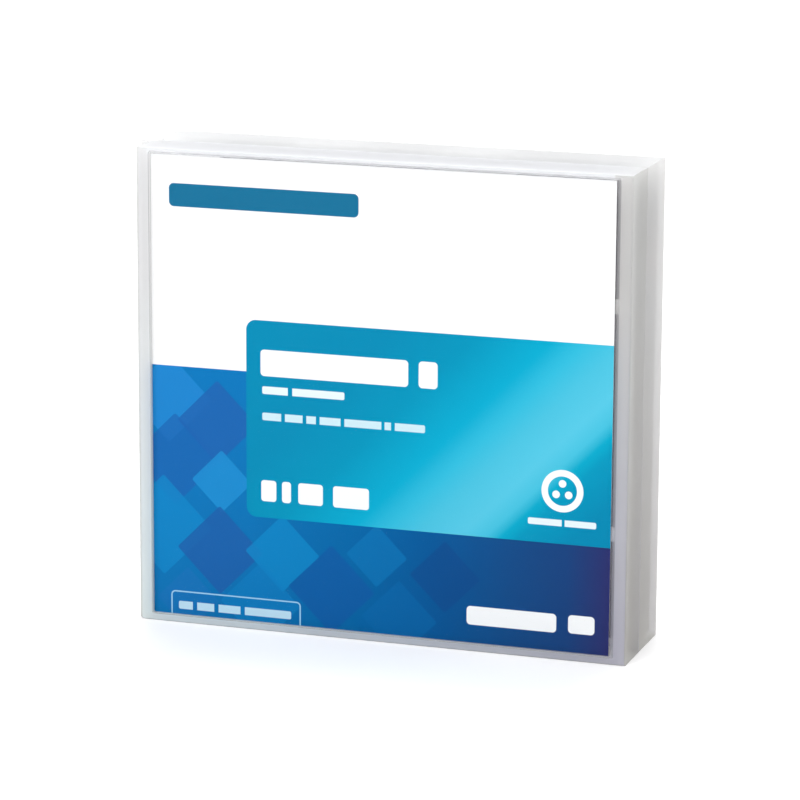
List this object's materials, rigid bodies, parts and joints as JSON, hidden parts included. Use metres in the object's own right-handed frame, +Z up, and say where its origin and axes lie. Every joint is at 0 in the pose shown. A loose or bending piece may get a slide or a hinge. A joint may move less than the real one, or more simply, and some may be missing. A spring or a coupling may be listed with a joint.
{
  "type": "data tape cartridge in its storage case",
  "caption": "Half-inch data tape cartridge with reel, brake and sliding door, shut in a hinged frosted plastic storage case with a printed card.",
  "frame": {"origin": "under the middle of the standing case's bounding box, on the surface that it stands on", "axes": "+Z up, X along the case's width with the hinge at -X, the lid's printed front faces -Y"},
  "size_m": [0.121, 0.028, 0.112],
  "materials": {
    "case_plastic": "frosted, translucent polypropylene",
    "printed_card": "printed, lightly coated",
    "shell_plastic": "fine textured",
    "reel_plastic": "satin",
    "flange_plastic": "satin",
    "tape_film": "smooth coated film",
    "plated_steel": "bright",
    "spring_steel": "drawn wire",
    "white_plastic": "satin acetal",
    "grey_plastic": "satin",
    "tab_plastic": "satin",
    "chip_board": "solder masked board"
  },
  "bodies": {
    "case": {"case_base": "case_plastic", "lower_shell": "shell_plastic", "upper_shell": "shell_plastic", "shell_screws": "plated_steel", "leader_tape": "tape_film", "leader_pin": "plated_steel", "tape_clamp": "white_plastic", "pin_springs": "spring_steel", "memory_chip": "chip_board", "brake_spring": "spring_steel", "door_spring": "spring_steel"},
    "lid": {"case_lid": "case_plastic", "cover_card": "printed_card"},
    "reel": {"reel_hub": "reel_plastic", "reel_upper_flange": "flange_plastic", "clutch_plate": "plated_steel", "tape_pack": "tape_film"},
    "brake": {"brake_button": "grey_plastic"},
    "pad": {"release_pad": "white_plastic"},
    "door": {"access_door": "grey_plastic"},
    "protect_tab": {"write_protect_tab": "tab_plastic"}
  },
  "joints": [
    {"name": "lid_hinge", "type": "hinge", "parent": "case", "child": "lid", "pos_m": [-0.0581, -0.002, 0.056], "axis": [0, 0, -1], "range_deg": [0, 180]},
    {"name": "reel_spin", "type": "hinge", "parent": "case", "child": "reel", "pos_m": [0.0062, 0, 0.056], "axis": [0, -1, 0], "continuous": true},
    {"name": "brake_lift", "type": "slide", "parent": "case", "child": "brake", "axis": [0, -1, 0], "range_m": [0, 0.0017], "stiffness_N_per_m": 300, "springref_m": -0.005, "deforming": ["brake_spring"]},
    {"name": "pad_push", "type": "slide", "parent": "reel", "child": "pad", "axis": [0, -1, 0], "range_m": [0, 0.0017]},
    {"name": "door_slide", "type": "slide", "parent": "case", "child": "door", "axis": [1, 0, 0], "range_m": [0, 0.015], "stiffness_N_per_m": 30, "springref_m": -0.012, "deforming": ["door_spring"]},
    {"name": "protect_slide", "type": "slide", "parent": "case", "child": "protect_tab", "axis": [0, 0, 1], "range_m": [0, 0.004]}
  ],
  "couplings": [
    {"joint": "pad_push", "follows": "brake_lift", "ratio": 1}
  ]
}
